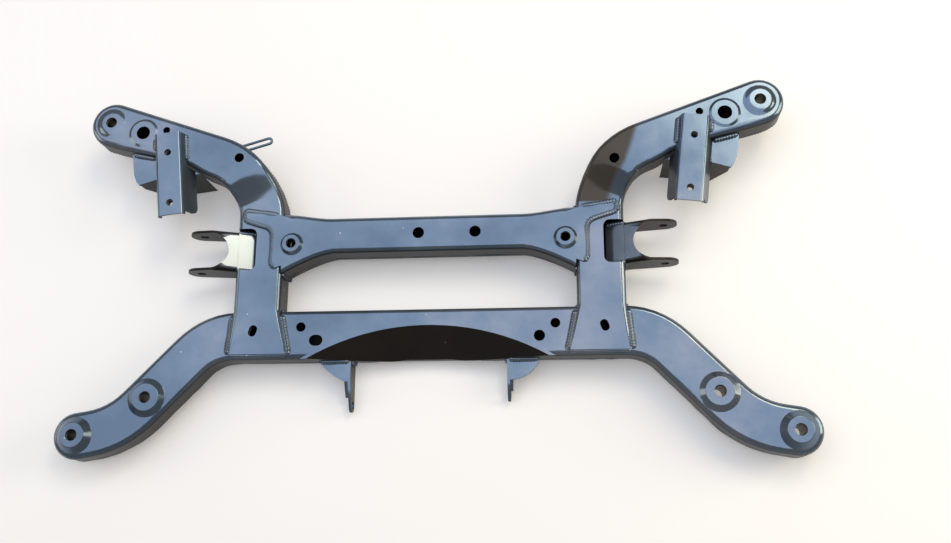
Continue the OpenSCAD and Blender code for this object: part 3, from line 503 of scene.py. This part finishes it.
def dressNode(name, isBare):
    mesh = mergedMesh(name, dress["lowerSharpDeg"] if name.endswith("lower") else dress["sharpDeg"])
    breakMm = dress["bareBreakMm"] if isBare else dress["breakMm"]
    widest = breakWeights(mesh, breakMm, name.endswith("upper"))
    setPaintedSky(mesh, bosses=dress["bosses"], **skyRiseOf(name))
    if isBare:
        piece = addPiece(name + "Dressed", mesh, [zincBody])
    else:
        body = enamelBendShade if name == "right_side_rail_upper" else enamelBody
        piece = addPiece(name + "Dressed", mesh, [body, enamelEdge])
    broken = piece.modifiers.new("brokenEdges", "BEVEL")
    broken.width = widest * mm
    broken.segments = dress["wideSteps"] if widest > dress["fineMm"] else dress["fineSteps"]
    broken.limit_method = "WEIGHT"
    broken.use_clamp_overlap = True
    broken.harden_normals = False
    if not isBare:
        broken.material = 1
    settled = settleBend(piece) if name.endswith("rail_upper") else ""
    even = piece.modifiers.new("evenNormals", "WEIGHTED_NORMAL")
    even.keep_sharp = True
    even.vertex_group = settled
    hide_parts(name)


for nodeName in list(nodes):
    dressNode(nodeName, any(word in nodeName for word in ("sleeve", "collar", "nuts")))
print("solids dressed:", len(nodes))

# Plan of the frame in mm and degrees, as in the solids
plan = dict(
    rearY=-93, rearHalf=36, rearNose=34, rearStraight=285, rearBendR=92, rearBendA=46, rearBackR=125,
    rearBackA=37, rearMount=(515, -237.5), rearTop=60, rearEdge=24,
    railX=253, railHalf=35, railGap=1, railBendR=100, railBendA=71, railNarrowA=30, railRise=26,
    railRiseA=(12, 44), railEdge=32, railTop=68,
    armHalf=33, armWaist=26, armWaistU=42, armNose=35, frontMount=(489, 236.5),
    frontY=55, frontHalf=27, frontFlareBack=30, frontFlareFore=8, frontFlareLen=76, frontFlarePower=1.4,
    frontEdge=36,
)
railIn = plan["railX"] - plan["railHalf"]
railOut = plan["railX"] + plan["railHalf"]
frontFore = plan["frontY"] + plan["frontHalf"] + plan["frontFlareFore"]
frontAft = plan["frontY"] - plan["frontHalf"] - plan["frontFlareBack"]
rearFore = plan["rearY"] + plan["rearHalf"]
rearAft = plan["rearY"] - plan["rearHalf"]


def heading(degrees):
    a = np.radians(degrees)
    return np.stack([np.cos(a), np.sin(a)], axis=-1)


def evenly(points, step):
    # the same polyline sampled every step mm
    points = np.asarray(points, dtype=float)
    run = np.concatenate([[0], np.cumsum(np.linalg.norm(np.diff(points, axis=0), axis=1))])
    at = np.linspace(0, run[-1], max(int(run[-1] / step), 4) + 1)
    return np.stack([np.interp(at, run, points[:, k]) for k in range(points.shape[1])], axis=1)


def mirrored(path):
    path = np.array(path, dtype=float)
    path[:, 0] *= -1
    return path


def withHeight(flat, z):
    flat = np.asarray(flat, dtype=float)
    return np.column_stack([flat, np.broadcast_to(z, len(flat))])


def rearLine():
    # centre line of the rear beam from its middle to the right mount, with heading and half width:
    # straight, bend back, slope, bend out again
    p = plan
    mount = np.array(p["rearMount"])
    outA = p["rearBackA"] - p["rearBendA"]
    bendA = np.radians(p["rearBendA"])
    a = np.linspace(0, p["rearBendA"], 24)
    bend = np.stack([p["rearStraight"] + p["rearBendR"] * np.sin(np.radians(a)),
                     p["rearY"] - p["rearBendR"] * (1 - np.cos(np.radians(a)))], axis=1)
    h = np.linspace(0, p["rearBackA"], 24) - p["rearBendA"]
    back = p["rearBackR"] * np.stack([np.sin(np.radians(h)) + np.sin(bendA),
                                      np.cos(bendA) - np.cos(np.radians(h))], axis=1)
    over = mount - bend[-1] - back[-1]
    o = np.radians(outA)
    slope = (over[0] * np.sin(o) - over[1] * np.cos(o)) / np.sin(bendA + o)
    back = back + bend[-1] + slope * heading(-p["rearBendA"])
    centre = np.concatenate([[[0, p["rearY"]]], bend, back, [mount]])
    turn = np.concatenate([[0], -a, h, [outA]])
    narrowing = p["rearHalf"] + (p["rearNose"] - p["rearHalf"]) * smoothStep(a / p["rearBendA"])
    half = np.concatenate([[p["rearHalf"]], narrowing, np.full(len(h) + 1, p["rearNose"])])
    return centre, turn, half


def rearLoop(inset):
    # right half of the beam's outline, from the middle in front, round the end, to the middle behind
    centre, turn, half = rearLine()
    fore = centre + (half - inset)[:, None] * heading(turn + 90)
    aft = centre + (half - inset)[:, None] * heading(turn - 90)
    outward = heading(np.linspace(turn[-1] + 90, turn[-1] - 90, 30))
    nose = np.array(plan["rearMount"]) + (plan["rearNose"] - inset) * outward
    return np.concatenate([fore, nose[1:-1], aft[::-1]])


# the arm starts where the rail's bend ends, and runs to the front mount
armH = 90 - plan["railBendA"]
bendRad = math.radians(plan["railBendA"])
bendOut = plan["railBendR"] * (1 - math.cos(bendRad))
bendOn = plan["railBendR"] * math.sin(bendRad)
armLen = (plan["frontMount"][0] - plan["railX"] - bendOut) / math.sin(bendRad)
bendY = plan["frontMount"][1] - bendOn - armLen * math.cos(bendRad)
armRoot = np.array([plan["railX"] + bendOut, bendY + bendOn])


def armPoint(u, v):
    # u along the arm from its root, v across it to the inner side
    return armRoot + np.multiply.outer(u, heading(armH)) + np.multiply.outer(v, heading(armH - 90))


def armInner(u):
    # half width on the inner side: in to the waist, out again to the nose
    p = plan
    near = p["armHalf"] + (p["armWaist"] - p["armHalf"]) * smoothStep(u / p["armWaistU"])
    out = smoothStep((u - p["armWaistU"]) / (armLen - p["armWaistU"]))
    return np.where(u < p["armWaistU"], near, p["armWaist"] + (p["armNose"] - p["armWaist"]) * out)


def railLoop(inset):
    # both sides of the right rail with its height, from the rear beam up one side, round the nose and back
    p = plan
    a = np.linspace(0, p["railBendA"], 40)
    half = p["railHalf"] + (p["armHalf"] - p["railHalf"]) * smoothStep(a / p["railNarrowA"])
    bend = np.stack([p["railX"] + p["railBendR"] * (1 - np.cos(np.radians(a))),
                     bendY + p["railBendR"] * np.sin(np.radians(a))], axis=1)
    riseFrom, riseTo = p["railRiseA"]
    lift = p["railRise"] * smoothStep((a - riseFrom) / (riseTo - riseFrom))
    u = np.linspace(2, armLen, 30)
    arm = armPoint(u, 0 * u)
    outerHalf = p["armHalf"] + (p["armNose"] - p["armHalf"]) * u / armLen
    start = np.array([[p["railX"], rearFore + p["railGap"]]])
    leftSide = np.concatenate([start - [p["railHalf"] - inset, 0],
                               bend + (half - inset)[:, None] * heading(180 - a),
                               arm + (outerHalf - inset)[:, None] * heading(armH + 90)])
    rightSide = np.concatenate([start + [p["railHalf"] - inset, 0],
                                bend + (half - inset)[:, None] * heading(-a),
                                arm + (armInner(u) - inset)[:, None] * heading(armH - 90)])
    outward = heading(np.linspace(armH + 88, armH - 88, 30))
    nose = np.array(p["frontMount"]) + (p["armNose"] - inset) * outward
    sideLift = np.concatenate([[0], lift, np.full(len(u), p["railRise"])])
    height = np.concatenate([sideLift, np.full(len(nose), p["railRise"]), sideLift[::-1]])
    return np.column_stack([np.concatenate([leftSide, nose, rightSide[::-1]]), height])


# Weld beads: a round bead carried along the joint, with a ripple for each puddle
bead = dict(
    around=12, perRipple=5, ripple=0.14, chevron=1.1, wander=0.35, swell=0.10, knotPitches=3,
    broad=1.3, tall=1.05, endRadii=1.6, lean=38, flat=0.62, steep=0.8,
    # range and most of the painted sky reflection on the beads
    skyRise=(0.1, 0.65), most=0.9,
)


def tubeFaces(n, m):
    # quads between n rings of m points
    i, k = np.meshgrid(np.arange(n - 1), np.arange(m), indexing="ij")
    nextK = (k + 1) % m
    quads = [i * m + k, (i + 1) * m + k, (i + 1) * m + nextK, i * m + nextK]
    return np.stack(quads, axis=-1).reshape(-1, 4)


def beadAxes(path, lean):
    # side and top of the bead along its path, turned towards the wall for a fillet
    along = np.gradient(path, axis=0)
    along /= np.linalg.norm(along, axis=1)[:, None]
    ref = np.where(np.abs(along[:, 2:3]) > bead["steep"], [[1.0, 0, 0]], [[0, 0, 1.0]])
    side = np.cross(along, ref)
    side /= np.linalg.norm(side, axis=1)[:, None]
    top = np.cross(side, along)
    tilt = math.radians(bead["lean"]) * lean
    return math.cos(tilt) * side + math.sin(tilt) * top, math.cos(tilt) * top - math.sin(tilt) * side


def sweep(path, radius, pitch, seed, lean=0):
    # P(u, v) = path(u) + r(u, v) (broad side cos v + tall top sin v),
    # r = radius taper(u) swell(u) (1 + ripple cos(2 pi u / pitch + chevron cos v));
    # a fillet is flat and leans to its wall, on the side of the path that the sign of lean gives
    path = evenly(path, pitch / bead["perRipple"])
    side, top = beadAxes(path, lean)
    tall = bead["flat"] if lean else bead["tall"]
    run = np.concatenate([[0], np.cumsum(np.linalg.norm(np.diff(path, axis=0), axis=1))])
    v = np.linspace(0, 2 * np.pi, bead["around"], endpoint=False)
    end = np.minimum(run, run[-1] - run) / (bead["endRadii"] * radius)
    taper = np.sqrt(np.clip(1 - (1 - np.clip(end, 0, 1)) ** 2, 0, 1))
    rng = np.random.default_rng(seed)
    knots = np.linspace(0, run[-1], max(int(run[-1] / (bead["knotPitches"] * pitch)), 2) + 1)
    swell = 1 + bead["swell"] * np.interp(run, knots, rng.uniform(-1, 1, len(knots)))
    drift = bead["wander"] * np.interp(run, knots, rng.uniform(-1, 1, len(knots)))
    phase = 2 * np.pi * run[:, None] / pitch + bead["chevron"] * np.cos(v)[None, :]
    r = radius * (taper * swell)[:, None] * (1 + bead["ripple"] * np.cos(phase))
    centre = path + drift[:, None] * side
    across = bead["broad"] * side[:, None, :] * np.cos(v)[None, :, None]
    across = across + tall * top[:, None, :] * np.sin(v)[None, :, None]
    points = centre[:, None, :] + r[..., None] * across
    return points.reshape(-1, 3), tubeFaces(len(path), bead["around"])


def joinSurfaces(parts):
    offset = np.cumsum([0] + [len(points) for points, faces in parts[:-1]])
    faces = [faces + first for (points, faces), first in zip(parts, offset)]
    return np.concatenate([points for points, faces in parts]), np.concatenate(faces)


def surfaceMesh(name, points, faces):
    mesh = bpy.data.meshes.new(name)
    mesh.from_pydata(points * mm, [], faces)
    work = bmesh.new()
    work.from_mesh(mesh)
    bmesh.ops.remove_doubles(work, verts=work.verts, dist=dress["sliverM"])
    bmesh.ops.recalc_face_normals(work, faces=work.faces)
    work.to_mesh(mesh)
    work.free()
    mesh.polygons.foreach_set("use_smooth", np.ones(len(mesh.polygons), dtype=bool))
    return mesh


def weldPiece(name, paths, radius, pitch, leans=None):
    leans = leans or [0] * len(paths)
    beads = [sweep(path, radius, pitch, k, leans[k]) for k, path in enumerate(paths)]
    mesh = surfaceMesh(name, *joinSurfaces(beads))
    setPaintedSky(mesh, bead["skyRise"], bead["most"])
    return addPiece(name, mesh, [enamelBody])


# Seam welds under the rims of the upper shells
seam = dict(inset=2.2, drop=0.7, radius=2.0, pitch=4.5, scallopGap=74)


def rearSeam():
    # the seam stops short of the scallop
    z = plan["rearEdge"] - seam["drop"]
    loop = withHeight(rearLoop(seam["inset"]), z)
    inScallop = (loop[:, 0] < seam["scallopGap"]) & (loop[:, 1] < plan["rearY"])
    stop = np.array([[seam["scallopGap"], rearAft + seam["inset"], z]])
    return np.concatenate([loop[~inScallop], stop])


def railSeam():
    loop = railLoop(seam["inset"])
    loop[:, 2] += plan["railEdge"] - seam["drop"]
    return loop


def frontSeams():
    # both edges of the front beam from rail to rail, y = half width plus the flare at its ends
    x = np.linspace(0, railIn - plan["railGap"], 60)
    f = np.clip((x - (railIn - plan["frontFlareLen"])) / plan["frontFlareLen"], 0, 1)
    fore = plan["frontY"] + plan["frontHalf"] + plan["frontFlareFore"] * smoothStep(f) - seam["inset"]
    flareBack = plan["frontFlareBack"] * f ** plan["frontFlarePower"]
    aft = plan["frontY"] - plan["frontHalf"] - flareBack + seam["inset"]
    z = plan["frontEdge"] - seam["drop"]
    both = np.concatenate([-x[:0:-1], x])
    return [withHeight(np.column_stack([both, np.concatenate([y[:0:-1], y])]), z) for y in (fore, aft)]


def makeSeams():
    rear, rail = rearSeam(), railSeam()
    weldPiece("rearBeamSeam", [rear, mirrored(rear)], seam["radius"], seam["pitch"])
    weldPiece("railSeamRight", [rail], seam["radius"], seam["pitch"])
    weldPiece("railSeamLeft", [mirrored(rail)], seam["radius"], seam["pitch"])
    weldPiece("frontBeamSeam", frontSeams(), seam["radius"], seam["pitch"])


makeSeams()
print("seam welds made")

# Joint welds of the right side in mm, copied to the left side
jointPitch = 4.2

# fillets along the rail's foot on the rear beam, which spreads towards the back
foot = dict(radius=4.8, run=65, start=0.1, spreadIn=14, spreadOut=6, clear=1.8, lift=0.9)


def footPaths():
    f = np.linspace(foot["start"], 1, 12)
    y = rearFore - foot["run"] * f
    z = plan["rearTop"] + foot["lift"]
    inner = np.column_stack([railIn - foot["spreadIn"] * f - foot["clear"], y])
    outer = np.column_stack([railOut + foot["spreadOut"] * f + foot["clear"], y])
    return [withHeight(inner, z), withHeight(outer, z)]


# upright beads where the rail meets the rear beam and the front beam meets the rail, one bead under the
# front beam's end, and a thin one along the foot's back edge
wall = dict(
    radius=2.6, clear=0.4,
    # half width, lowest and highest z of the rail's upper and lower shell
    railShells=((35.4, 31, 52), (32.2, 9, 31)),
    # outset, lowest and highest z of the front beam's upper and lower shell
    beamShells=((0.3, 36, 63), (-3, 14, 36)),
    under=10.2, underClear=0.2, underInset=8, backClear=0.6, backDrop=0.8, backInset=1,
)


def wallPaths():
    w = wall
    y = rearFore + w["clear"]
    rails = [(plan["railX"] + s * half, low, high) for s in (-1, 1) for half, low, high in w["railShells"]]
    paths = [[(x, y, low), (x, y, high)] for x, low, high in rails]
    x = railIn - w["clear"]
    for outset, low, high in w["beamShells"]:
        paths += [[(x, end, low), (x, end, high)] for end in (frontFore + outset, frontAft - outset)]
    x = railIn - w["underClear"]
    paths += [[(x, frontAft + w["underInset"], w["under"]), (x, frontFore - w["underInset"], w["under"])]]
    back, low = rearFore - foot["run"] - w["backClear"], plan["rearTop"] - w["backDrop"]
    paths += [[(railIn - foot["spreadIn"] + w["backInset"], back, low),
               (railOut + foot["spreadOut"] - w["backInset"], back, low)]]
    return paths


# bead round the lap plate and the finger of the front beam, on top of the rail
plate = dict(
    radius=3.1, lap=16, cornerR=16, cornerTurn=105, fingerEnd=59, fingerWide=15, fingerFore=6, step=9,
    backInset=8, clear=0.4, lift=0.7, chamfer=3, startOut=6, endIn=8, endDrop=6.6,
)


def platePath():
    p = plate
    y0 = frontAft + p["backInset"]
    y2 = frontFore + p["fingerFore"] - p["fingerWide"]
    x1, x2 = railIn + p["lap"], railIn + p["fingerEnd"]
    corner = np.array([x1 + p["cornerR"], y2 - p["step"] - p["cornerR"]])
    arc = corner + p["cornerR"] * heading(np.linspace(180, p["cornerTurn"], 10))
    back = [[x1 - p["startOut"], y0 - p["clear"]], [x1 + p["clear"], y0 + p["backInset"]]]
    finger = [[x2 - p["chamfer"], y2 - p["clear"]],
              [x2 + p["clear"], y2 + p["chamfer"]],
              [x2 + p["clear"], y2 + p["fingerWide"] - p["chamfer"]],
              [x2 - p["chamfer"], y2 + p["fingerWide"] + p["clear"]],
              [railIn + p["endIn"], y2 + p["fingerWide"] - p["endDrop"]]]
    return withHeight(np.concatenate([back, arc, finger]), plan["railTop"] + p["lift"])


# beads in the grooves between the clevis roof's rounded edges and the notch in the rail, then upright
# ones down the rail's wall
clevis = dict(
    radius=2.6, setBack=18.5, roofFrom=262, roofTo=289, roofZ=48, slope=24, sink=1.2, grooveHalf=29.4,
    wallX=289.4, wallHalf=30.6, wallZ=(19, 52),
)


def clevisPaths():
    c = clevis
    y = plan["frontY"] - c["setBack"]
    low = c["roofZ"] - c["sink"]
    high = low + (c["roofTo"] - c["roofFrom"]) * math.tan(math.radians(c["slope"]))
    paths = [[(c["roofFrom"], y + s * c["grooveHalf"], low), (c["roofTo"], y + s * c["grooveHalf"], high)]
             for s in (-1, 1)]
    paths += [[(c["wallX"], y + s * c["wallHalf"], z) for z in c["wallZ"]] for s in (-1, 1)]
    return paths


# fillets of the stabiliser channel on the arm's top, and a round bead of its shelf on the arm's wall
bracket = dict(
    radius=3.5, fromEnd=111.5, across=21.5, angle=64, holeRun=80.5, wallOut=25.0, along=(-40, 31),
    edgeInset=6, farEdge=-28, lift=0.6, shelfU=(10, 20), shelfOut=(27.5, 66), shelfClear=0.6, shelfZ=80.4,
)
bracketTurn = armH + bracket["angle"] - 90
bracketAt = armPoint(armLen - bracket["fromEnd"], bracket["across"])


def bracketPaths():
    b = bracket
    run = np.multiply.outer(np.linspace(*b["along"], 60), heading(bracketTurn + 90))
    paths = []
    for s in (-1, 1):
        flat = bracketAt + s * b["wallOut"] * heading(bracketTurn) + run
        v = (flat - armRoot) @ heading(armH - 90)
        u = (flat - armRoot) @ heading(armH)
        onTop = (v < armInner(u) - b["edgeInset"]) & (v > b["farEdge"])
        paths.append(withHeight(flat[onTop], plan["railTop"] + plan["railRise"] + b["lift"]))
    first, last = b["shelfU"]
    u = np.linspace(first, armLen - last, 90)
    flat = armPoint(u, 0 * u) + (armInner(u) + b["shelfClear"])[:, None] * heading(armH - 90)
    out = (flat - bracketAt) @ heading(bracketTurn)
    near, far = b["shelfOut"]
    paths.append(withHeight(flat[(out > near) & (out < far)], b["shelfZ"]))
    return paths


# beads down both faces of a drive ear and along the top of its gusset, behind the rear beam
ear = dict(radius=3.5, x=115, thick=4, clear=0.3, sink=0.2, slant=1.6, low=4, gapHigh=34, outHigh=31,
           gussetZ=36.4, gussetFrom=2, gussetTo=46)


def earPaths():
    e = ear
    y = rearAft - e["sink"]
    gapX, outX = e["x"] - e["clear"], e["x"] + e["thick"] + e["clear"]
    return [np.array([(gapX, y + e["slant"], e["low"]), (gapX, y, e["gapHigh"])]),
            np.array([(outX, y + e["slant"], e["low"]), (outX, y, e["outHigh"])]),
            np.array([(e["x"] + e["gussetFrom"], y, e["gussetZ"]), (e["x"] + e["gussetTo"], y, e["gussetZ"])])]


def makeJoints():
    for label, flip, way in (("Right", np.array, 1), ("Left", mirrored, -1)):
        weldPiece("footWelds" + label, [flip(p) for p in footPaths()], foot["radius"], jointPitch,
                  [-way, way])
        weldPiece("wallWelds" + label, [flip(p) for p in wallPaths()], wall["radius"], jointPitch)
        weldPiece("plateWelds" + label, [flip(platePath())], plate["radius"], jointPitch)
        weldPiece("clevisWelds" + label, [flip(p) for p in clevisPaths()], clevis["radius"], jointPitch)
        weldPiece("bracketWelds" + label, [flip(p) for p in bracketPaths()], bracket["radius"], jointPitch,
                  [way, -way, 0])
    weldPiece("earWelds", [mirrored(p) for p in earPaths()] + earPaths(), ear["radius"], jointPitch)


makeJoints()
print("joint welds made")

# Threads in the weld nuts, M10 by 1.5, in mm and radians
thread = dict(root=4.35, crest=3.75, sunk=0.3, pitch=1.5, flank=0.4, low=97.2, turns=5.4, steps=28,
              fadeRun=1.2, fadeLeast=0.02)


def threadSurface(x, y):
    # P(u, v) = helix(u) with a triangle as its section: root below, crest, root above, and a closed back
    t = thread
    u = np.linspace(0, 2 * np.pi * t["turns"], int(t["steps"] * t["turns"]))
    rise = t["low"] + t["pitch"] * u / (2 * np.pi)
    r = np.array([t["root"], t["crest"], t["root"], t["root"] + t["sunk"]])
    dz = np.array([-1, 0, 1, 0]) * t["flank"] * t["pitch"]
    fade = np.clip(np.minimum(u, u[-1] - u) / t["fadeRun"], t["fadeLeast"], 1)[:, None]
    ring = t["root"] + (r[None, :] - t["root"]) * fade
    points = np.stack([x + ring * np.cos(u)[:, None], y + ring * np.sin(u)[:, None],
                       rise[:, None] + dz[None, :] * fade], axis=-1)
    n, m = len(u), len(r)
    caps = np.array([np.arange(m), n * m - 1 - np.arange(m)])
    return points.reshape(-1, 3), np.concatenate([tubeFaces(n, m), caps])


def makeThreads(label, flip):
    aft = bracketAt - bracket["holeRun"] * heading(bracketTurn + 90)
    surfaces = [threadSurface(x, y) for x, y in (bracketAt, aft)]
    points, faces = joinSurfaces([(flip(points), faces) for points, faces in surfaces])
    name = "nutThreads" + label
    addPiece(name, surfaceMesh(name, points, faces), [zincBody])


makeThreads("Right", np.array)
makeThreads("Left", mirrored)
print("threads made")
